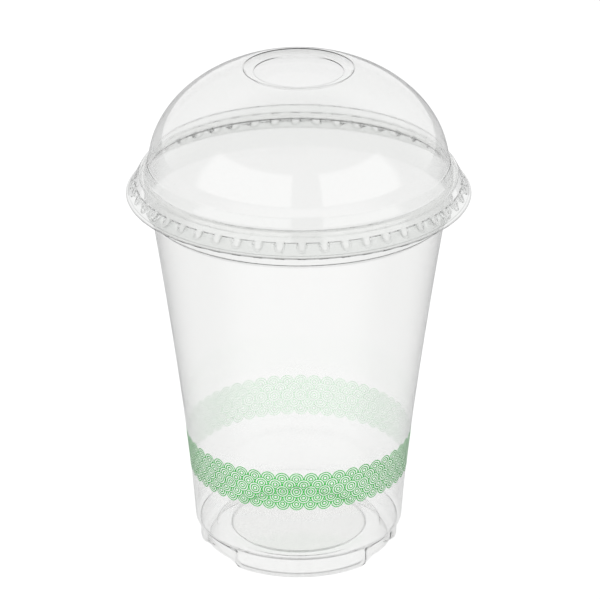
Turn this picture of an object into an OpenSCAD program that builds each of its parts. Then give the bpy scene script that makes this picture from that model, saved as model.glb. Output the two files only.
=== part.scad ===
// Clear drinking cup with a printed band, and the domed lid with a straw hole that closes it.
// Millimetres, +Z up. The origin is the middle of the cup's foot, and -Y is the front.

/* [Cup] */
// Height of the cup, from its foot to the top of its rim
cup_h = 119.4; // [112:0.2:130]
// Outside diameter of the rolled rim
rim_d = 93; // [91:0.1:96]
// Diameter of the roll at the rim
roll_d = 2; // [1.6:0.1:2.4]
// Thickness of the cup's wall
cup_wall = 0.35; // [0.25:0.05:0.5]
// How far round the edge of the sheet is rolled, in degrees
roll_turn = 280; // [200:5:290]
// Outside diameter at the lower end of the tapered side
side_low_d = 62.4; // [61:0.1:66]
// How the side bows inwards, where 1 is straight
side_bow = 1.25; // [1:0.01:1.4]

/* [Stacking ledge] */
// How far the ledge that a cup above stands on juts out beyond the neck
ledge_out = 0.35; // [0.1:0.05:0.6]
// How far the side steps in under the ledge
ledge_w = 2.1; // [1.6:0.1:3.5]
// Drop from the top of the rim to the ledge
ledge_drop = 10.7; // [8:0.1:14]
// Height of the slope under the ledge
ledge_slope_h = 1.8; // [1:0.1:4]

/* [Foot] */
// Height of the foot, up to the shoulder under the side
foot_h = 6.8; // [6:0.1:9]
// How far the top of the foot lies inside the lower end of the side
shoulder_in = 1.3; // [1:0.1:1.8]
// Height of the shoulder between the foot and the side
shoulder_h = 1.5; // [1.2:0.1:2.4]
// How far the foot's wall leans in, down to where it curls under
foot_lean = 0.2; // [0:0.05:0.5]
// Radius of the curl under the foot
foot_round = 2; // [1:0.1:2.4]
// Width of the flat ring that the cup stands on
stand_w = 0.9; // [0.6:0.1:1.4]
// Width of the channel between the outside of the foot and the raised floor
channel_w = 5.7; // [5.2:0.1:7]
// Height of the raised floor's underside
floor_z = 4.7; // [3.8:0.1:5.2]
// Number of the foot's standing sectors
foot_sectors = 3; // [2:1:6]
// Angle that the recessed stretches take of each sector, in degrees
notch_angle = 35; // [20:1:45]
// How far the recessed stretches lie behind the standing ones
notch_depth = 1; // [0.6:0.1:1.2]
// How far the recessed stretches end above the ground
notch_rise = 0.9; // [0.5:0.1:1.2]
// Turn of the front sector from the front, in degrees
foot_turn = 2; // [-30:1:30]
// Length of the short straights and chamfers at the corners of the cup
corner = 0.4; // [0.3:0.05:0.5]

/* [Printed band] */
// Height of the middle of the band above the ground
band_z = 30.9; // [26:0.1:80]
// Distance from one row of circles to the next
row_gap = 2.15; // [1.8:0.05:2.4]
// Number of rows of circles
rows = 5; // [3:2:7]
// Number of circles in a row, all round
circles = 50; // [40:1:60]
// Thickness of the ink, drawn thick enough to be a solid
ink = 0.06; // [0.05:0.01:0.12]
// Clearance between the ink and the cup's side
ink_gap = 0.03; // [0.02:0.01:0.05]

/* [Lid] */
// Thickness of the lid's wall
lid_wall = 0.35; // [0.25:0.05:0.5]
// Clearance between the lid and the rim that it sits over
lid_gap = 0.1; // [0.05:0.01:0.2]
// How far the widest level of the dome lies inside the outside of the rim
dome_in = 2.5; // [2.3:0.1:3.5]
// Height of the dome, from its widest level to where the curve would close
dome_rise = 32.8; // [26:0.1:40]
// Height of the dome's widest level above the top of the rim
dome_base = 1.5; // [1:0.1:2.4]
// Height of the crease round the dome above its widest level
crease_h = 2; // [1:0.1:4]
// How far the wall steps out at the crease
crease_step = 0.3; // [0.15:0.05:0.5]
// Diameter of the ring round the sunk top
crest_d = 33.2; // [31:0.1:37]
// Depth of the sunk top under that ring
sunk = 1; // [0.6:0.1:1.6]
// Diameter of the straw hole
hole_d = 26; // [20:0.1:28]

/* [Lid skirt] */
// How far the flange reaches beyond the outside of the rim
flange_reach = 4; // [3.9:0.1:5]
// Width of the flat lip at the flange's edge
lip_w = 0.5; // [0.3:0.1:0.6]
// How far the skirt spreads for each millimetre of drop
skirt_spread = 0.54; // [0.48:0.01:0.55]
// How far the floor of the pockets spreads for each millimetre of drop
floor_spread = 0.8; // [0.79:0.01:0.9]
// Drop from the top of the rim to the top of the pockets
pocket_drop = 2.85; // [2.6:0.05:3.1]
// Depth of the pockets at their top
pocket_depth = 0.65; // [0.4:0.05:0.7]
// Number of tongues, one between each pocket and the next
tongues = 48; // [36:1:54]
// Radius of a tongue's round front
tongue_r = 1.6; // [1.3:0.05:1.8]
// How far the tongues' fronts lie behind the skirt above them
tongue_set = 0.03; // [0.02:0.01:0.05]
// Turn of the front tongue from the front, in degrees
tongue_turn = 1.1; // [-4:0.1:4]

/* [Hidden] */
$fn = 144;

CLEAR_SHEET = [0.86, 0.91, 0.90, 0.45];
CLEAR_LID = [0.80, 0.86, 0.88, 0.55];
PRINT_GREEN = [0.30, 0.72, 0.33];

// Cup
roll_r = roll_d/2;
roll_centre = [rim_d/2 - roll_r, cup_h - roll_r];
neck_r = roll_centre[0] - roll_r + cup_wall;
ledge_r = neck_r + ledge_out;
ledge_z = cup_h - ledge_drop;
side_low = [side_low_d/2, foot_h + shoulder_h];
side_top = [ledge_r - ledge_w, ledge_z - ledge_slope_h];
side_steps = 18;
roll_steps = 20;

// Foot
foot_top_r = side_low[0] - shoulder_in;
foot_r = foot_top_r - foot_lean;
floor_r = foot_r - channel_w;
sector_angle = 360/foot_sectors;
stand_angle = sector_angle - notch_angle;
round_steps = 6;

// Printed band
scallop_steps = 8;
band_half = (rows - 1)/2*row_gap;
circle_r = PI*side_r(band_z)/circles;

// Lid
wrap_r = roll_r + lid_gap + lid_wall;
skirt_lean = atan(skirt_spread);
skirt_top = roll_centre + wrap_r*[cos(skirt_lean), sin(skirt_lean)];
pocket_z = cup_h - pocket_drop;
pocket_edge = [skirt_r(pocket_z), pocket_z];
floor_top = pocket_edge - pocket_depth*[1, 0.3];
flange_r = rim_d/2 + flange_reach;
flange_z = floor_top[1] - (flange_r - lip_w - floor_top[0])/floor_spread - lip_w/2;
dome_r = rim_d/2 - dome_in;
dome_zero = cup_h + dome_base;
crest_r = crest_d/2;
crest_z = dome_z(crest_r);
wrap_start = 120;
wrap_steps = 10;
dome_steps = 28;
cut = 1;

// Radius of the cup's outside at height z on its tapered side
function side_r(z) = side_low[0] + (side_top[0] - side_low[0])
    *pow(max(0, z - side_low[1])/(side_top[1] - side_low[1]), side_bow);
// Radius of the lid's skirt at height z
function skirt_r(z) = skirt_top[0] + skirt_spread*(skirt_top[1] - z);
// Height of the dome's outside at radius r
function dome_z(r) = dome_zero + dome_rise*sqrt(1 - pow(r/dome_r, 2));

// Points of an arc about c, from angle a to angle b
function arc(c, r, a, b, steps) = [for (i = [0:steps]) let (t = a + (b - a)*i/steps) c + r*[cos(t), sin(t)]];
// Left-hand normal of the step from p to q
function left(p, q) = let (d = (q - p)/norm(q - p)) [-d[1], d[0]];
// Path moved to its left by t, with its corners kept square
function beside(path, t) = let (last = len(path) - 1) [for (i = [0:last])
    let (n = left(path[max(i - 1, 0)], path[max(i, 1)]), m = left(path[min(i, last - 1)], path[min(i + 1, last)]))
    path[i] + t*(n + m)/(1 + n*m)];
function backwards(path) = [for (i = [len(path) - 1:-1:0]) path[i]];
// Part of a path, from point a to point b
function stretch(path, a, b) = [for (i = [a:b]) path[i]];

// Outside of the foot from the raised floor to the shoulder, set back by inset and lifted by rise
function foot_path(inset, rise) = let (
        lip = [floor_r + corner, floor_z],
        low = [foot_r - foot_round - stand_w - corner, 0],
        slope = [for (z = [rise + corner, rise]) lip + (low - lip)*(floor_z - z)/floor_z])
    concat(
        [[floor_r, floor_z], lip, slope[0], [slope[1][0] + corner, rise]],
        arc([foot_r - inset - foot_round, rise + foot_round], foot_round, -90, 0, round_steps),
        inset > 0 ? [[foot_top_r - inset, foot_h - corner - inset]] : [],
        [[foot_top_r, foot_h - corner], [foot_top_r, foot_h]]);

// Outside of the cup from the shoulder to the end of the rolled edge
function side_path() = concat(
    [[foot_top_r, foot_h + corner/2], [side_low[0] - corner, side_low[1] - 2*corner]],
    [for (i = [0:side_steps]) let (z = side_low[1] + (side_top[1] - side_low[1])*i/side_steps) [side_r(z), z]],
    [[ledge_r - corner, ledge_z - corner], [ledge_r, ledge_z], [ledge_r - corner/2, ledge_z + corner]],
    arc(roll_centre, roll_r - cup_wall, 180, 180 - roll_turn, roll_steps));

// Standing sectors, as wedges with their flanks moved inwards by t
module stand_wedges(t) {
    half = stand_angle/2;
    apex = t/sin(half);
    far = (side_low_d - apex)*tan(half);
    for (i = [0:foot_sectors - 1])
        rotate([0, 0, foot_turn - 90 + i*sector_angle])
            linear_extrude(2*(foot_h + cut), center = true)
                polygon([[apex, 0], [side_low_d, -far], [side_low_d, far]]);
}

// Standing stretches of the foot, filled, or the space in them when t is the wall's thickness
module stand_fill(t) {
    top = t > 0 ? [[foot_top_r - t, foot_h + cut], [0, foot_h + cut]] : [[0, foot_h]];
    intersection() {
        rotate_extrude() polygon(concat([[0, floor_z + t]], beside(foot_path(0, 0), t), top));
        stand_wedges(t);
    }
}

// Thin formed cup: raised floor, stepped foot, bowed side, stacking ledge, neck and rolled rim
module cup() color(CLEAR_SHEET) {
    outside = concat(foot_path(notch_depth, notch_rise), side_path());
    inside = beside(outside, cup_wall);
    last = len(outside) - 1;
    roll_start = last - roll_steps;
    difference() {
        union() {
            rotate_extrude() polygon(concat([[0, floor_z]], outside,
                backwards(stretch(inside, roll_start, last)), [[0, inside[roll_start][1]]]));
            stand_fill(0);
        }
        rotate_extrude() polygon(concat([[0, floor_z + cup_wall]], stretch(inside, 0, roll_start),
            [[inside[roll_start][0], cup_h + cut], [0, cup_h + cut]]));
        stand_fill(cup_wall);
    }
}

// Height of the band's scalloped edge above its outer row of centres, at step k round it
function scallop(k) = circle_r*sin(180*(k % scallop_steps)/scallop_steps);
// Turn of step k, so that each scallop's points are even along its curve
function scallop_turn(k) = 360/circles*(floor(k/scallop_steps) - cos(180*(k % scallop_steps)/scallop_steps)/2);

// Printed band: a thin skin of ink with a scalloped edge above and below
module printed_band() {
    n = circles*scallop_steps;
    points = [for (k = [0:n - 1]) let (a = scallop_turn(k) - 90, h = band_half + scallop(k))
        for (s = [[-1, 0], [-1, 1], [1, 1], [1, 0]])
            let (z = band_z + s[0]*h, r = side_r(z) + ink_gap + s[1]*ink) [r*cos(a), r*sin(a), z]];
    faces = [for (k = [0:n - 1], s = [0:3])
        [4*k + s, 4*k + (s + 1) % 4, 4*((k + 1) % n) + (s + 1) % 4, 4*((k + 1) % n) + s]];
    color(PRINT_GREEN) polyhedron(points, faces);
}

// Outside of the lid from its middle to the edge of its flange, with pockets all round the skirt
function lid_path() = let (
        first = asin(crest_r/dome_r),
        last = acos(crease_h/dome_rise))
    concat(
        [[0, crest_z - sunk], [crest_r - 1.5*sunk, crest_z - sunk], [crest_r - 0.6*sunk, crest_z - 0.2*sunk]],
        [for (i = [0:dome_steps]) let (t = first + (last - first)*i/dome_steps)
            [dome_r*sin(t), dome_zero + dome_rise*cos(t)]],
        [[dome_r*sin(last) + crease_step, dome_zero + crease_h - crease_step]],
        arc(roll_centre, wrap_r, wrap_start, skirt_lean, wrap_steps),
        [pocket_edge, floor_top, [flange_r - lip_w, flange_z + lip_w/2], [flange_r, flange_z]]);

// Round bars along the skirt's slope that form the tongues, or with less radius their insides
module tongue_bars(r) {
    mid_z = (pocket_z + flange_z)/2;
    axis_r = skirt_r(mid_z) - (tongue_r + tongue_set)/cos(skirt_lean);
    for (i = [0:tongues - 1])
        rotate([0, 0, tongue_turn - 90 + i*360/tongues])
            translate([axis_r, 0, mid_z])
                rotate([0, -skirt_lean, 0])
                    cylinder(r = r, h = pocket_drop + 2*cut, center = true);
}

// Thin formed lid: sunk top with a straw hole, dome, crease, rim seat and skirt with tongues
module dome_lid() color(CLEAR_LID) {
    outside = lid_path();
    inside = beside(outside, -lid_wall);
    edge = inside[len(inside) - 1];
    difference() {
        union() {
            rotate_extrude() polygon(concat(outside, [[flange_r, flange_z - cut], [0, flange_z - cut]]));
            tongue_bars(tongue_r);
        }
        rotate_extrude() polygon(concat(inside,
            [[flange_r + cut, edge[1]], [flange_r + cut, flange_z - 2*cut], [0, flange_z - 2*cut]]));
        tongue_bars(tongue_r - lid_wall);
        translate([0, 0, crest_z - 2*sunk]) cylinder(d = hole_d, h = 2*sunk);
    }
}

cup();
printed_band();
dome_lid();
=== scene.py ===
"""Clear drinking cup with a printed band, under a clear domed lid with a straw hole.

Metres, +Z up, -Y to the front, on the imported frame. Sizes are written in millimetres, as the
source of the part has them, and turned into metres where a mesh is made.
"""
import math

import bmesh
import bpy
from mathutils import Matrix, Vector


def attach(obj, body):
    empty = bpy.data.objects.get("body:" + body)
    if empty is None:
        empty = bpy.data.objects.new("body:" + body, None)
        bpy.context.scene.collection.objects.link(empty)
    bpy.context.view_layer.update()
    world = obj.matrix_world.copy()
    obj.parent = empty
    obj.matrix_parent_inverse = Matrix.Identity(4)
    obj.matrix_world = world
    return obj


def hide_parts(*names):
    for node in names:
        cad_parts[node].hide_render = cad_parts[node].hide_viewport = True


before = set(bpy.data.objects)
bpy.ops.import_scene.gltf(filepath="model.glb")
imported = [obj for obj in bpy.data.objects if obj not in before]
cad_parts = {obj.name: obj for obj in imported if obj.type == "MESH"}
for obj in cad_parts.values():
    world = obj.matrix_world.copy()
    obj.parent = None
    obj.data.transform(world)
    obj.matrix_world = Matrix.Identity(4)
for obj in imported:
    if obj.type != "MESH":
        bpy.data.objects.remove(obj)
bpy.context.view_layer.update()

MM = 0.001
FULL_TURN = 2 * math.pi

# Meshes in general
EASE_STEPS = 3
LEAST_EASE = 0.04
LEAST_SPIN_STEPS = 24
MERGE_METRES = 1e-6
SHARP_FROM = math.radians(50)

# Cup
CUP_H = 119.4
RIM_R = 46.5
ROLL_R = 1.0
CUP_WALL = 0.35
ROLL_TURN = math.radians(280)
ROLL_STEPS = 18
ROLL_CENTRE = Vector((RIM_R - ROLL_R, CUP_H - ROLL_R))
SIDE_LOW = Vector((31.2, 8.3))
SIDE_BOW = 1.25
SIDE_STEPS = 14
CUP_COLUMNS = 480

# Stacking ledge
LEDGE_OUT = 0.35
LEDGE_W = 2.1
LEDGE_DROP = 10.7
LEDGE_SLOPE_H = 1.8
NECK_R = ROLL_CENTRE.x - ROLL_R + CUP_WALL
LEDGE_R = NECK_R + LEDGE_OUT
LEDGE_Z = CUP_H - LEDGE_DROP
SIDE_TOP = Vector((LEDGE_R - LEDGE_W, LEDGE_Z - LEDGE_SLOPE_H))

# Foot and raised floor
FOOT_H = 6.8
SHOULDER_IN = 1.3
FOOT_LEAN = 0.2
STAND_W = 3.2
SLOPE_LEAST = 0.2
CHANNEL_W = 5.5
FLOOR_Z = 4.7
DISC_R = 20
DISC_DROP = 1
DISC_SLOPE_W = 0.7
FOOT_TOP_R = SIDE_LOW.x - SHOULDER_IN
FOOT_R = FOOT_TOP_R - FOOT_LEAN
FLOOR_R = FOOT_R - CHANNEL_W

# Recessed stretches of the foot, with the columns drawn together at their flanks
FOOT_SECTORS = 3
FOOT_TURN = math.radians(2)
NOTCH_ANGLE = math.radians(35)
NOTCH_DEPTH = 1.0
NOTCH_RISE = 0.9
FLANK = math.radians(3)
FLANK_REACH = math.radians(12)
FLANK_DRAW = 1.5

# Printed band
BAND_Z = 30.9
ROW_GAP = 2.15
ROWS = 5
CIRCLES = 50
SCALLOP_STEPS = 16
INK = 0.03
INK_GAP = 0.05
BAND_TURN = math.radians(-1.1)
# Ink lines of a circle, as shares of its radius
INK_LINES = ((0.2, 0.36), (0.52, 0.69), (0.86, 1.0))

# Lid
LID_WALL = 0.35
LID_GAP = 0.1
WRAP_R = ROLL_R + LID_GAP + LID_WALL
DOME_IN = 2.5
DOME_BASE = 1.5
DOME_RISE = 32.8
DOME_STEPS = 26
DOME_R = RIM_R - DOME_IN
DOME_ZERO = CUP_H + DOME_BASE
CREASE_H = 2.0
CREASE_STEP = 0.3
CREST_R = 16.6
CREST_W = 1.5
SUNK = 1.0
HOLE_R = 13.0
SEAT_FROM = math.radians(112)
SEAT_OUT = 0.15
SEAT_CORNER = math.radians(40)
SEAT_STEPS = 6

# Lid skirt
SKIRT_SPREAD = 0.54
SKIRT_LEAN = math.atan(SKIRT_SPREAD)
FLOOR_SPREAD = 0.8
POCKET_DROP = 2.85
POCKET_Z = CUP_H - POCKET_DROP
POCKET_DEPTH = 0.65
POCKET_SLOPE = 0.3
POCKET_STEPS = 14
FLANGE_REACH = 4
FLANGE_R = RIM_R + FLANGE_REACH
LIP_W = 0.5
TONGUES = 48
TONGUE_R = 1.75
TONGUE_FLANK = 0.5
TONGUE_STRAIGHT = 0.85
TONGUE_END = POCKET_Z - TONGUE_STRAIGHT
TONGUE_SET = 0.03
TONGUE_TURN = math.radians(1.1)
# Places of the columns from the middle of a tongue to the middle of the pocket beside it, and the
# height above which the columns are even
TONGUE_COLUMNS = (0, 0.18, 0.36, 0.41, 0.47, 0.54, 1)
TONGUE_COLUMNS_TOP = CUP_H + 2

# Clear plastic: the tints of light that comes through it, and painted shade for its pockets,
# tongue flanks, raised floor disc and folds
CUP_TINT = (0.98, 0.981, 0.977, 1)
LID_TINT = (0.96, 0.962, 0.958, 1)
GREYER_TINT = (0.93, 0.935, 0.928, 1)
DISC_SHADE_TINT = (0.88, 0.88, 0.87, 1)
RECESS_SHADE_TINT = (0.91, 0.92, 0.91, 1)
OUTLINE_SHADE_TINT = (0.5, 0.51, 0.5, 1)
FOLD_SHADE_TINT = (0.15, 0.15, 0.15, 1)
OUTLINE_SHADE_SHARE = 3
# Share of a fold's painted shade beside the axis, and what is added at the front and taken at the
# rear
FOLD_SHADE_SHARE = 0.6
FOLD_SHADE_FORE = 0.4
# Rings of the cup painted with dark shade lines at its folds: radius, height and reach
CUP_FOLD_SHADES = ((FOOT_R - STAND_W + SLOPE_LEAST, 0.2, 0.6),
             (DISC_R + 0.3, FLOOR_Z - DISC_DROP / 2, 0.7),
             (FOOT_TOP_R, FOOT_H, 0.35))
# Heights between which the neck and the skirt take a greyer tint
NECK_GREYER = (LEDGE_Z, CUP_H - 2.3)
SKIRT_GREYER = (0, CUP_H + 3.3)

# Ink, new and worn, seen from outside and through the wall, and the painted shade of its grazing
# sides
INK_GREEN = (0.008, 0.44, 0.03, 1)
INK_GREEN_WORN = (0.025, 0.53, 0.06, 1)
INK_PALE = (0.3, 0.8, 0.35, 1)
INK_PALE_WORN = (0.36, 0.84, 0.4, 1)
INK_ROUGHNESS = 0.5
INK_GRAZING_SHADE = (0, 0.1, 0, 1)
INK_GRAZING_SHARE = 0.7

# Studio, by the direction it is seen in: turns in radians from the front, rises as the
# direction's z and the back wall as its y
SOFTBOX_TURNS = ((-1.5, -1.35, -0.11, -0.08), (0.29, 0.32, 1.35, 1.5))
SOFTBOX_RISE = (-0.02, 0.01, 0.6, 0.66)
SOFTBOX_LIGHT = 1.7
ROOM_LIGHT = 0.3
BACK_WALL = (0.05, 0.6, 2, 3)
BACK_RISE = (-0.3, 0, 0.7, 1)
BACK_LIGHT = 1.3
SWEEP_RISE = (-3, -2, 0.6, 2.2)
SWEEP_LIGHT = 0.87

# White table, in metres: its grey that takes shadows, what that grey gives back where nothing
# shades it, and the grey by which it lights the object
TABLE_R = 4
TABLE_DROP = 0.1 * MM
TABLE_GREY = 0.2
TABLE_SHADED = 0.16
TABLE_BOUNCE = 0.8
# How bright a reflection sees the table, how much less at the sides and the rear, and the least
TABLE_REFLECTED = 1.08
TABLE_SIDE_FALL = 0.9
TABLE_REAR_FALL = 0.6
TABLE_LEAST = 0.1
# How far the sides' falls lean to the front, how suddenly they begin, and the soft middle
TABLE_SIDE_LEAN = 0.35
TABLE_SIDE_POWER = 4
TABLE_SOFT = 0.02

# Lamp and camera, in metres, the camera as the photograph's rings put it
LAMP_AIM = Vector((0, 0, 0.08))
CAMERA_AIM = Vector((0, 0, 0.0777))
CAMERA_ELEVATION = math.radians(24.25)
CAMERA_DISTANCE = 1.173
CAMERA_LENS = 237.7
CAMERA_SENSOR = 36
CAMERA_SHIFT = 0.0022


# Profiles, as lists of (radius, height)

def turned(radius, angle):
    """Vector of a length at an angle."""
    return Vector((radius * math.cos(angle), radius * math.sin(angle)))


def arc(centre, radius, start, end, steps):
    """Points along an arc, both ends included."""
    return [centre + turned(radius, start + (end - start) * i / steps) for i in range(steps + 1)]


def left(step):
    """Left-hand normal of a step."""
    return Vector((-step.y, step.x)).normalized()


def beside(corners, wall):
    """Corners of the other face of a sheet, to their left by wall, with their easing to match."""
    points = [Vector(corner[:2]) for corner in corners]
    steps = [b - a for a, b in zip(points, points[1:])]
    steps = [steps[0]] + steps + [steps[-1]]
    moved = []
    for point, (_, _, ease), before, after in zip(points, corners, steps, steps[1:]):
        n, m = left(before), left(after)
        place = point + wall * (n + m) / (1 + n.dot(m))
        inward = math.copysign(1, before.cross(after)) * wall
        moved.append((*place, max(ease - inward, LEAST_EASE) if ease else 0))
    return moved


def eased(corners):
    """Straights between corners (radius, height, easing), each corner eased by an arc."""
    path = []
    for i, (r, z, ease) in enumerate(corners):
        corner = Vector((r, z))
        if ease == 0:
            path.append(corner)
            continue
        back = (Vector(corners[i - 1][:2]) - corner).normalized()
        on = (Vector(corners[i + 1][:2]) - corner).normalized()
        half = back.angle(on) / 2
        centre = corner + (back + on).normalized() * ease / math.sin(half)
        first = corner + back * ease / math.tan(half) - centre
        last = corner + on * ease / math.tan(half) - centre
        start = math.atan2(first.y, first.x)
        sweep = math.atan2(first.cross(last), first.dot(last))
        path += arc(centre, ease, start, start + sweep, EASE_STEPS)
    return path


def sheet_section(corners, wall):
    """Both faces of a sheet, there along its outside and back along its inside."""
    return eased(corners) + eased(beside(corners, wall))[::-1]


def plain(points):
    """Corners without easing."""
    return [(*point, 0) for point in points]


def side_r(z):
    """Radius of the cup's outside at height z on its tapered side."""
    share = max(0, z - SIDE_LOW.y) / (SIDE_TOP.y - SIDE_LOW.y)
    return SIDE_LOW.x + (SIDE_TOP.x - SIDE_LOW.x) * share ** SIDE_BOW


def cup_corners(inset, rise):
    """Outside of the cup from the middle of its floor to the end of the roll.

    Each corner is a radius, a height and its easing. In a notch the foot is set back by inset and
    ends higher by rise.
    """
    disc_z = FLOOR_Z - DISC_DROP
    slope_share = (FLOOR_Z - rise) / FLOOR_Z
    slope_r = FLOOR_R + SLOPE_LEAST + (FOOT_R - STAND_W - FLOOR_R) * slope_share
    floor = [
        (0, disc_z, 0), (DISC_R / 2, disc_z, 0), (DISC_R, disc_z, 0.45),
        (DISC_R + DISC_SLOPE_W, FLOOR_Z, 0.45), (FLOOR_R, FLOOR_Z, 0.7), (slope_r, rise, 0.45)]
    foot = [
        (FOOT_R - inset, rise, 1.9),
        (FOOT_TOP_R - 0.04 - inset, FOOT_H - 1.1 - inset * 0.3, 0.3)]
    shoulder = [
        (FOOT_TOP_R, FOOT_H - 0.4, 0.45), (FOOT_TOP_R, FOOT_H + 0.2, 0.15),
        (SIDE_LOW.x - 0.25, SIDE_LOW.y - 0.75, 0.6)]
    rises = [SIDE_LOW.y + (SIDE_TOP.y - SIDE_LOW.y) * i / SIDE_STEPS for i in range(SIDE_STEPS)]
    side = plain((side_r(z), z) for z in rises)
    ledge = [
        (*SIDE_TOP, 1.2), (LEDGE_R - 0.05, LEDGE_Z - 0.1, 0.95),
        (LEDGE_R - 0.2, LEDGE_Z + 0.6, 0.5)]
    roll = plain(arc(ROLL_CENTRE, ROLL_R - CUP_WALL, math.pi, math.pi - ROLL_TURN, ROLL_STEPS))
    return floor + foot + shoulder + side + ledge + roll


def skirt_r(z):
    """Radius of the lid's skirt at height z."""
    top = ROLL_CENTRE + turned(WRAP_R, SKIRT_LEAN)
    return top.x + SKIRT_SPREAD * (top.y - z)


def dome_point(angle):
    """Point of the dome's outside at an angle from its axis."""
    return Vector((DOME_R * math.sin(angle), DOME_ZERO + DOME_RISE * math.cos(angle)))


def lid_corners():
    """Outside of the lid from the straw hole to the edge of its flange, along the pockets.

    Each corner is a radius, a height and its easing.
    """
    first = math.asin(CREST_R / DOME_R)
    last = math.acos(CREASE_H / DOME_RISE)
    angles = [first + (last - first) * i / DOME_STEPS for i in range(1, DOME_STEPS)]
    crest, crease = dome_point(first), dome_point(last)
    top = [
        (HOLE_R, crest.y - SUNK, 0), (CREST_R - CREST_W, crest.y - SUNK, 0.3),
        (CREST_R - 0.55, crest.y - 0.05, 0.45)]
    dome = [
        *plain(dome_point(angle) for angle in angles), (*crease, 0.5),
        (crease.x + CREASE_STEP, crease.y - CREASE_STEP, 0.5)]
    seat = [
        (*(ROLL_CENTRE + turned(WRAP_R + SEAT_OUT, SEAT_FROM)), 0.45),
        *plain(arc(ROLL_CENTRE, WRAP_R, SEAT_FROM - SEAT_CORNER, SKIRT_LEAN, SEAT_STEPS))]
    edge = Vector((skirt_r(POCKET_Z), POCKET_Z))
    floor = edge - POCKET_DEPTH * Vector((1, POCKET_SLOPE))
    lip_r = FLANGE_R - LIP_W
    lip = Vector((lip_r, floor.y - (lip_r - floor.x) / FLOOR_SPREAD))
    skirt = [
        (*edge, 0.25), (*floor, 0.12),
        *plain(floor.lerp(lip, i / POCKET_STEPS) for i in range(1, POCKET_STEPS)),
        (*lip, 0.3), (FLANGE_R, lip.y - LIP_W / 2, 0)]
    return top + dome + seat + skirt


def lid_fold_shades():
    """Rings of the lid painted with dark shade lines at its folds: radius, height and reach."""
    corners = lid_corners()
    hole_r, hole_z, _ = corners[0]
    flange_r, flange_z, _ = corners[-1]
    return ((flange_r, flange_z, 0.6), (hole_r, hole_z, 0.4), (CREST_R - 0.6, hole_z + SUNK, 0.5))


# Meshes

def spun(section, columns):
    """Closed surface turned from a section, and the layer of each vertex's place in it.

    A spin of many steps is slow, so a part of the turn is spun and then doubled.
    """
    bm = bmesh.new()
    place = bm.verts.layers.int.new("place")
    verts = [bm.verts.new((0, -p.x * MM, p.y * MM)) for p in section]
    for i, vert in enumerate(verts):
        vert[place] = i
    edges = [bm.edges.new(pair) for pair in zip(verts, verts[1:])]
    if section[0].x > 0:
        edges.append(bm.edges.new((verts[-1], verts[0])))
    parts = 1
    while columns % (2 * parts) == 0 and columns > LEAST_SPIN_STEPS * parts:
        parts *= 2
    bmesh.ops.spin(bm, geom=verts + edges, axis=(0, 0, 1), cent=(0, 0, 0),
                   angle=FULL_TURN / parts, steps=columns // parts)
    while parts > 1:
        copy = bmesh.ops.duplicate(bm, geom=bm.verts[:] + bm.edges[:] + bm.faces[:])["geom"]
        bmesh.ops.rotate(bm, verts=[v for v in copy if isinstance(v, bmesh.types.BMVert)],
                         cent=(0, 0, 0), matrix=Matrix.Rotation(FULL_TURN / parts, 3, "Z"))
        parts //= 2
    bmesh.ops.remove_doubles(bm, verts=bm.verts, dist=MERGE_METRES)
    bmesh.ops.recalc_face_normals(bm, faces=bm.faces)
    return bm, place


def polar(vert):
    """Angle from the front, radius and height of a vertex, the last two in millimetres."""
    return math.atan2(vert.co.x, -vert.co.y), vert.co.xy.length / MM, vert.co.z / MM


def put(vert, angle, r, z):
    """Moves a vertex to an angle from the front, a radius and a height in millimetres."""
    vert.co = Vector((r * math.sin(angle), -r * math.cos(angle), z)) * MM


def smooth(x):
    """Rises from 0 to 1, level at both ends."""
    x = min(1, max(0, x))
    return x * x * (3 - 2 * x)


def finished(bm, name, materials, body, node):
    """Object of a mesh that rides on a body and stands for a node of the frame."""
    mesh = bpy.data.meshes.new(name)
    for face in bm.faces:
        face.smooth = True
    bm.to_mesh(mesh)
    bm.free()
    mesh.set_sharp_from_angle(angle=SHARP_FROM)
    for material in materials:
        mesh.materials.append(material)
    piece = bpy.data.objects.new(name, mesh)
    bpy.context.scene.collection.objects.link(piece)
    flats = piece.modifiers.new("flats", "WEIGHTED_NORMAL")
    flats.keep_sharp = True
    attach(piece, body)
    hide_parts(node)
    return piece


def make_cup(sheet):
    """Cup of thin sheet, with three recessed stretches in its foot."""
    stand = sheet_section(cup_corners(0, 0), CUP_WALL)
    notch = sheet_section(cup_corners(NOTCH_DEPTH, NOTCH_RISE), CUP_WALL)
    bm, place = spun(stand, CUP_COLUMNS)
    sector = FULL_TURN / FOOT_SECTORS
    half_stand = (sector - NOTCH_ANGLE) / 2
    for vert in bm.verts:
        angle, r, z = polar(vert)
        around = (angle - FOOT_TURN + sector / 2) % sector - sector / 2
        past = abs(around) - half_stand
        if abs(past) < FLANK_REACH:
            drawn = math.copysign(FLANK_REACH * abs(past / FLANK_REACH) ** FLANK_DRAW, past)
            angle += math.copysign(drawn - past, around)
            past = drawn
        i = vert[place]
        if stand[i] != notch[i]:
            inner = CUP_WALL / FOOT_R if i > len(stand) / 2 else 0
            r, z = stand[i].lerp(notch[i], smooth(((past + inner) / FLANK + 1) / 2))
        put(vert, angle, r, z)
    return finished(bm, "cup_shell", [sheet], "cup", "cup")


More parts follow.
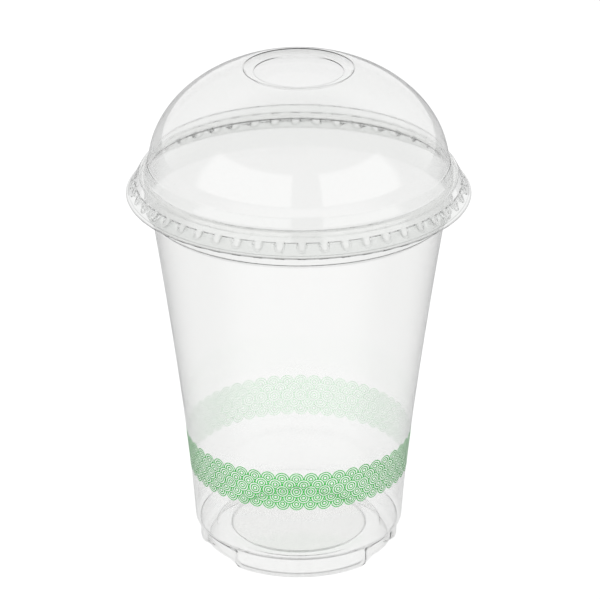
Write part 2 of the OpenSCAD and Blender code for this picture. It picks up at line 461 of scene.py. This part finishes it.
def make_lid(sheet):
    """Lid of thin sheet, with tongues between the pockets of its skirt."""
    section = sheet_section(lid_corners(), -LID_WALL)
    cells = len(TONGUE_COLUMNS) - 1
    bm, place = spun(section, TONGUES * 2 * cells)
    recess = bm.verts.layers.float.new("recess")
    pitch = FULL_TURN / TONGUES
    for vert in bm.verts:
        angle, r, z = polar(vert)
        tongue = round(angle / pitch)
        cell = (angle / pitch - tongue) * 2 * cells
        share = cell / cells
        if z < TONGUE_COLUMNS_TOP:
            share = math.copysign(TONGUE_COLUMNS[min(cells, round(abs(cell)))], cell)
        angle = (tongue + share / 2) * pitch + TONGUE_TURN
        inner = LID_WALL if vert[place] > len(section) / 2 else 0
        front = skirt_r(z) - TONGUE_SET - inner / math.cos(SKIRT_LEAN)
        if z < POCKET_Z + 0.1 and r < front:
            across = abs(share) * pitch / 2 * r
            below = max(0, TONGUE_END - z)
            flank = (math.hypot(across, below) - TONGUE_R + inner) / TONGUE_FLANK
            vert[recess] = smooth(flank + 1)
            r += (front - r) * (1 - vert[recess])
        put(vert, angle, r, z)
    return finished(bm, "lid_shell", [sheet], "lid", "dome_lid")


def make_band(outside, inside):
    """Skin of ink round the cup, with scallops along both edges and its own ink on either face."""
    half = (ROWS - 1) / 2 * ROW_GAP
    circle_r = math.pi * side_r(BAND_Z) / CIRCLES
    levels = [BAND_Z + share * half for share in (-1, -0.5, 0, 0.5, 1)]
    outer = [Vector((side_r(z) + INK_GAP + INK, z)) for z in levels]
    inner = [Vector((p.x - INK, p.y)) for p in reversed(outer)]
    columns = CIRCLES * SCALLOP_STEPS
    bm, _ = spun(outer + inner, columns)
    for vert in bm.verts:
        angle, r, z = polar(vert)
        share = (z - BAND_Z) / half
        above = r - side_r(z)
        circle, step = divmod(round(angle * columns / FULL_TURN), SCALLOP_STEPS)
        turn = math.pi * step / SCALLOP_STEPS
        angle = (circle - (1 + math.cos(turn)) / 2 + 0.5) * FULL_TURN / CIRCLES + BAND_TURN
        z += math.copysign(circle_r * math.sin(turn), share) * abs(share)
        put(vert, angle, side_r(z) + above, z)
    for face in bm.faces:
        centre = face.calc_center_median()
        if face.normal.dot(Vector((centre.x, centre.y, 0))) < 0:
            face.material_index = 1
    return finished(bm, "ink_band", [outside, inside], "cup", "printed_band")


# Materials

class Value:
    """Output of a node, on which sums are written as on a number."""

    def __init__(self, shader, socket):
        self.shader = shader
        self.socket = socket

    def __add__(self, other):
        return self.shader.math("ADD", self, other)

    def __sub__(self, other):
        return self.shader.math("SUBTRACT", self, other)

    def __rsub__(self, other):
        return self.shader.math("SUBTRACT", other, self)

    def __mul__(self, other):
        return self.shader.math("MULTIPLY", self, other)

    def __truediv__(self, other):
        return self.shader.math("DIVIDE", self, other)

    def __rtruediv__(self, other):
        return self.shader.math("DIVIDE", other, self)

    def __pow__(self, other):
        return self.shader.math("POWER", self, other)

    def __mod__(self, other):
        return self.shader.math("FLOORED_MODULO", self, other)

    def __lt__(self, other):
        return self.shader.math("LESS_THAN", self, other)

    def __gt__(self, other):
        return self.shader.math("GREATER_THAN", self, other)

    def __abs__(self):
        return self.shader.math("ABSOLUTE", self)

    __radd__ = __add__
    __rmul__ = __mul__


class Nodes:
    """Node tree of a material or of the world, begun empty."""

    def __init__(self, owner):
        owner.use_nodes = True
        self.tree = owner.node_tree
        self.tree.nodes.clear()

    def node(self, kind, settings=None, inputs=None, output=0):
        """Node of a kind, with its settings, and values or links at its sockets."""
        node = self.tree.nodes.new(kind)
        for name, value in (settings or {}).items():
            setattr(node, name, value)
        for name, value in (inputs or {}).items():
            if isinstance(value, Value):
                self.tree.links.new(value.socket, node.inputs[name])
            else:
                node.inputs[name].default_value = value
        return Value(self, node.outputs[output])

    def math(self, operation, *terms):
        """Result of a Math node on its terms."""
        return self.node("ShaderNodeMath", {"operation": operation}, dict(enumerate(terms)))

    def parts(self, vector):
        """The three numbers of a vector."""
        split = self.node("ShaderNodeSeparateXYZ", {}, {0: vector})
        return [Value(self, output) for output in split.socket.node.outputs]

    def mix(self, share, first, second):
        """Colour between two colours."""
        return self.node("ShaderNodeMix", {"data_type": "RGBA"}, {0: share, 6: first, 7: second}, 2)

    def rise(self, value, start, end):
        """Rises from 0 at the start to 1 at the end, level at both."""
        return self.node("ShaderNodeMapRange", {"interpolation_type": "SMOOTHSTEP"}, {
            "Value": value, "From Min": start, "From Max": end})

    def ramp(self, value, span):
        """Rises from 0 to 1 over the first two numbers of a span, and falls over the last two."""
        return self.rise(value, *span[:2]) * (1 - self.rise(value, *span[2:]))

    def ray(self, *kinds):
        """One for the given kinds of ray, and nought for others."""
        path = self.node("ShaderNodeLightPath")
        first, *others = [Value(self, path.socket.node.outputs[kind]) for kind in kinds]
        for other in others:
            first = self.math("MAXIMUM", first, other)
        return first

    def end(self, shader, kind="ShaderNodeOutputMaterial"):
        """The tree's own output, fed by a shader."""
        self.tree.links.new(shader.socket, self.tree.nodes.new(kind).inputs["Surface"])


def grey(level):
    """Neutral colour."""
    return (level, level, level, 1)


def clear_plastic(name, tint, edge_shade_tint, edge, haze, greyer_span, fold_shades):
    """Thin clear sheet: a faint wave from forming, greyer stretches, and painted shade at grazing
    edges, in the skirt's pockets, along the tongues' flanks, on the raised floor disc and at folds.

    Edge is the power by which the painted shade of grazing edges fades, and haze the roughness of
    the streaks drawn in forming. The span of heights is where the sheet takes a greyer tint. The
    rings (radius, height, reach) are folds painted with dark shade lines, darker at the front.
    """
    material = bpy.data.materials.new(name)
    shader = Nodes(material)
    place = shader.node("ShaderNodeTexCoord", output="Object")
    wave = shader.node("ShaderNodeTexNoise", {}, {"Vector": place, "Scale": 45, "Detail": 1})
    upright = shader.node("ShaderNodeMapping", {}, {"Vector": place, "Scale": (1, 1, 0.15)})
    drawn = shader.node("ShaderNodeTexNoise", {}, {"Vector": upright, "Scale": 320, "Detail": 3})
    bump = shader.node("ShaderNodeBump", {}, {
        "Strength": 0.06, "Distance": 0.6 * MM, "Height": wave + drawn * 0.05})
    graze = shader.node("ShaderNodeLayerWeight", {}, {"Blend": 0.5}, "Facing")
    x, y, z = shader.parts(place)
    radius = (x * x + y * y) ** 0.5 / MM
    height = z / MM
    greyer = (height > greyer_span[0]) * (height < greyer_span[1])
    recess = shader.node("ShaderNodeAttribute", {"attribute_name": "recess"}, output="Fac")
    # Painted shade: the skirt's pockets darker than the tongues between them
    colour = shader.mix(recess, shader.mix(greyer, tint, GREYER_TINT), RECESS_SHADE_TINT)
    # Painted shade: a dark outline along the tongues' flanks, where the pockets begin
    colour = shader.mix(recess * (1 - recess) * OUTLINE_SHADE_SHARE, colour, OUTLINE_SHADE_TINT)
    # Painted shade: the sheet darker where it grazes the view
    colour = shader.mix(graze ** edge, colour, edge_shade_tint)
    # Painted shade: the raised floor disc darker
    colour = shader.mix((radius < DISC_R) * (height < FOOT_H), colour, DISC_SHADE_TINT)
    # Painted shade: dark lines along the folds of the sheet, stronger at the front and weaker at the
    # rear
    for fold_r, fold_z, reach in fold_shades:
        out, up = radius - fold_r, height - fold_z
        away = shader.math("MINIMUM", (out * out + up * up) ** 0.5 / reach, 1)
        share = (1 - away) * (FOLD_SHADE_SHARE - y / MM / radius * FOLD_SHADE_FORE)
        colour = shader.mix(share, colour, FOLD_SHADE_TINT)
    sheet = shader.node("ShaderNodeBsdfPrincipled", {}, {
        "Base Color": colour, "Roughness": drawn * haze, "IOR": 1.5,
        "Transmission Weight": 1.0, "Normal": bump})
    through = shader.node("ShaderNodeBsdfTransparent", {}, {"Color": grey(0.94)})
    shader.end(shader.node("ShaderNodeMixShader", {}, {
        0: shader.ray("Is Shadow Ray", "Is Diffuse Ray"), 1: sheet, 2: through}))
    return material


def circle_pattern(shader):
    """Where ink lies: rows of nested rings, the middle row on top and the outer rows below."""
    place = shader.node("ShaderNodeTexCoord", output="Object")
    x, y, z = shader.parts(place)
    circle_r = math.pi * side_r(BAND_Z) / CIRCLES
    along = (shader.math("ARCTAN2", x, y * -1) - BAND_TURN) * (CIRCLES / FULL_TURN)
    height = z / MM - BAND_Z
    last_row = ROWS // 2
    ink = abs(height) < last_row * ROW_GAP
    for row in sorted(range(-last_row, last_row + 1), key=abs, reverse=True):
        offset = 0.5 if row % 2 == 0 else 0
        across = ((along + offset) % 1 - 0.5) * (2 * circle_r)
        up = height - row * ROW_GAP
        share = (across * across + up * up) ** 0.5 / circle_r
        rings = sum((share > inner) * (share < outer) for inner, outer in INK_LINES)
        within = share < 1
        ink = ink * (1 - within) + rings * within
    return ink


def ink_material(name, colour, worn_colour, cover):
    """Printed ink, a little uneven, with painted shade at grazing angles, clear between its lines
    and drawn on its own side only.
    """
    material = bpy.data.materials.new(name)
    shader = Nodes(material)
    place = shader.node("ShaderNodeTexCoord", output="Object")
    patches = shader.node("ShaderNodeTexNoise", {}, {"Vector": place, "Scale": 900, "Detail": 2})
    behind = shader.node("ShaderNodeNewGeometry", output="Backfacing")
    graze = shader.node("ShaderNodeLayerWeight", {}, {"Blend": 0.5}, "Facing")
    # Painted shade: the ink darker where it turns away from the view
    worn_and_shaded = shader.mix(graze * INK_GRAZING_SHARE, shader.mix(patches, colour, worn_colour), INK_GRAZING_SHADE)
    shader.end(shader.node("ShaderNodeBsdfPrincipled", {}, {
        "Base Color": worn_and_shaded, "Roughness": patches * 0.2 + INK_ROUGHNESS,
        "Alpha": circle_pattern(shader) * (1 - behind) * cover}))
    return material


# Studio

def table_reflected(shader, x, y):
    """How bright a reflection sees the table: less at the object's sides and towards the rear."""
    fore = y + abs(x) * TABLE_SIDE_LEAN
    side = (x * x / (x * x + fore * fore + TABLE_SOFT ** 2)) ** TABLE_SIDE_POWER
    rear = shader.math("MAXIMUM", y / ((x * x + y * y) ** 0.5 + TABLE_SOFT), 0)
    level = TABLE_REFLECTED - side * TABLE_SIDE_FALL - rear * TABLE_REAR_FALL
    return shader.math("MAXIMUM", level, TABLE_LEAST)


def make_floor():
    """White table whose light falls off away from the object, as reflections see it."""
    material = bpy.data.materials.new("white_table")
    shader = Nodes(material)
    x, y, _ = shader.parts(shader.node("ShaderNodeTexCoord", output="Object"))
    camera, through = shader.ray("Is Camera Ray"), shader.ray("Is Transmission Ray")
    level = (camera + through * SWEEP_LIGHT
             + table_reflected(shader, x, y) * (1 - camera - through))
    shaded = shader.node("ShaderNodeBsdfDiffuse", {}, {"Color": grey(TABLE_GREY)})
    lit = shader.node("ShaderNodeEmission", {}, {"Color": level - TABLE_SHADED, "Strength": 1})
    both = shader.node("ShaderNodeAddShader", {}, {0: shaded, 1: lit})
    bounce = shader.node("ShaderNodeBsdfDiffuse", {}, {"Color": grey(TABLE_BOUNCE)})
    seen = shader.ray("Is Camera Ray", "Is Transmission Ray", "Is Glossy Ray")
    shader.end(shader.node("ShaderNodeMixShader", {}, {0: seen, 1: bounce, 2: both}))
    bm = bmesh.new()
    bmesh.ops.create_circle(bm, cap_ends=True, segments=96, radius=TABLE_R)
    bmesh.ops.translate(bm, verts=bm.verts, vec=(0, 0, -TABLE_DROP))
    mesh = bpy.data.meshes.new("floor")
    bm.to_mesh(mesh)
    bm.free()
    mesh.materials.append(material)
    floor = bpy.data.objects.new("floor", mesh)
    bpy.context.scene.collection.objects.link(floor)


def make_world():
    """Studio round the object: white to the camera, dark to reflections, with two wide softboxes."""
    world = bpy.data.worlds.new("studio")
    bpy.context.scene.world = world
    shader = Nodes(world)
    x, y, z = shader.parts(shader.node("ShaderNodeTexCoord", output="Generated"))
    turn = shader.math("ARCTAN2", x, y * -1)
    box = sum(shader.ramp(turn, span) for span in SOFTBOX_TURNS) * shader.ramp(z, SOFTBOX_RISE)
    wall = shader.ramp(y, BACK_WALL) * shader.ramp(z, BACK_RISE)
    level = box * (SOFTBOX_LIGHT - ROOM_LIGHT) + wall * (BACK_LIGHT - ROOM_LIGHT) + ROOM_LIGHT
    sweep = shader.ray("Is Transmission Ray") * shader.ramp(z, SWEEP_RISE) * SWEEP_LIGHT
    white = shader.math("MAXIMUM", shader.ray("Is Camera Ray"), sweep)
    back = shader.node("ShaderNodeBackground", {}, {
        "Color": grey(1), "Strength": level * (1 - white) + white})
    shader.end(back, "ShaderNodeOutputWorld")


def aimed(piece, aim, azimuth, elevation, distance):
    """Puts a lamp or the camera at a distance from its aim, by its angle from the front."""
    bpy.context.scene.collection.objects.link(piece)
    flat = math.cos(elevation) * distance
    piece.location = aim + Vector((flat * math.sin(azimuth), -flat * math.cos(azimuth),
                                   math.sin(elevation) * distance))
    piece.rotation_euler = (aim - piece.location).to_track_quat("-Z", "Y").to_euler()


def make_lamp(name, azimuth, elevation, distance, size, power):
    """Soft square lamp aimed at the object, unseen itself."""
    light = bpy.data.lights.new(name, "AREA")
    light.shape = "SQUARE"
    light.size = size
    light.energy = power
    lamp = bpy.data.objects.new(name, light)
    aimed(lamp, LAMP_AIM, azimuth, elevation, distance)
    lamp.visible_camera = False
    lamp.visible_glossy = False
    lamp.visible_transmission = False


def make_camera():
    """Camera where the photograph's rings put it."""
    data = bpy.data.cameras.new("camera")
    data.lens = CAMERA_LENS
    data.sensor_width = CAMERA_SENSOR
    data.shift_x = CAMERA_SHIFT
    data.clip_end = 20
    camera = bpy.data.objects.new("camera", data)
    aimed(camera, CAMERA_AIM, 0, CAMERA_ELEVATION, CAMERA_DISTANCE)
    bpy.context.scene.camera = camera


make_camera()
make_cup(clear_plastic("cup_sheet", CUP_TINT, edge_shade_tint=grey(0.15), edge=4, haze=0.06,
                       greyer_span=NECK_GREYER, fold_shades=CUP_FOLD_SHADES))
make_lid(clear_plastic("lid_sheet", LID_TINT, edge_shade_tint=grey(0.55), edge=3, haze=0.08,
                       greyer_span=SKIRT_GREYER, fold_shades=lid_fold_shades()))
make_band(
    outside=ink_material("ink_outside", INK_GREEN, INK_GREEN_WORN, cover=0.97),
    inside=ink_material("ink_inside", INK_PALE, INK_PALE_WORN, cover=0.45))
make_floor()
make_world()
make_lamp("overhead", azimuth=math.radians(-20), elevation=math.radians(75), distance=1.6,
          size=1.0, power=18)

scene = bpy.context.scene
scene.view_settings.view_transform = "Standard"
# Colour alone guides the denoiser, because the first wall's own colour and normals hide the print
scene.cycles.denoising_input_passes = "RGB"
# Light crosses both faces of many walls of clear sheet on its way through lid and cup
scene.cycles.max_bounces = 24
scene.cycles.transmission_bounces = 20
scene.cycles.glossy_bounces = 8
scene.cycles.transparent_max_bounces = 32
